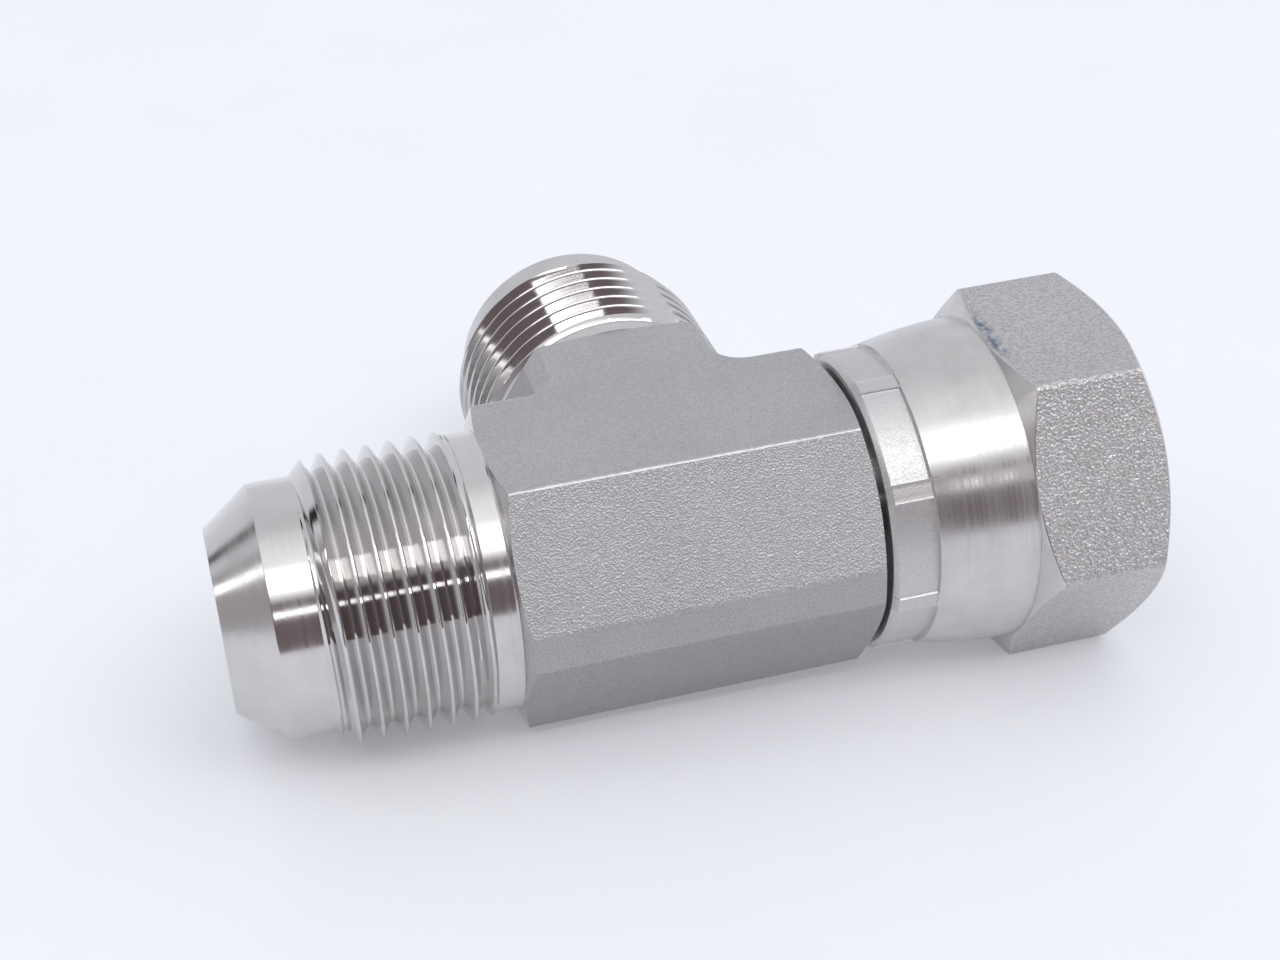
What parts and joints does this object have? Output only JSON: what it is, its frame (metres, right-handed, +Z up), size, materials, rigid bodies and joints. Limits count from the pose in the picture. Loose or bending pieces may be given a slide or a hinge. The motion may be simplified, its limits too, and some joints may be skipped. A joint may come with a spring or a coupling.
{
  "type": "swivel nut run tee fitting",
  "caption": "Stainless steel tee with male flare ends on the run and the branch and a crimped hexagonal swivel nut on the other run end.",
  "frame": {"origin": "where the axis of the run crosses the axis of the branch", "axes": "+X along the run towards the swivel nut, +Y along the branch towards its nose, +Z up, square to both"},
  "size_m": [0.0865, 0.0604, 0.0328],
  "materials": {
    "body_steel": "bare stainless steel: turned threads, necks and flare cones, satin grained forged faces",
    "nut_steel": "bare stainless steel: satin grained hexagon, brushed and crimped skirt"
  },
  "bodies": {
    "body": {"tee_body": "body_steel"},
    "nut": {"swivel_nut": "nut_steel"}
  },
  "joints": [
    {"name": "nut_spin", "type": "hinge", "parent": "body", "child": "nut", "pos_m": [0.03, 0, 0], "axis": [1, 0, 0], "continuous": true}
  ]
}
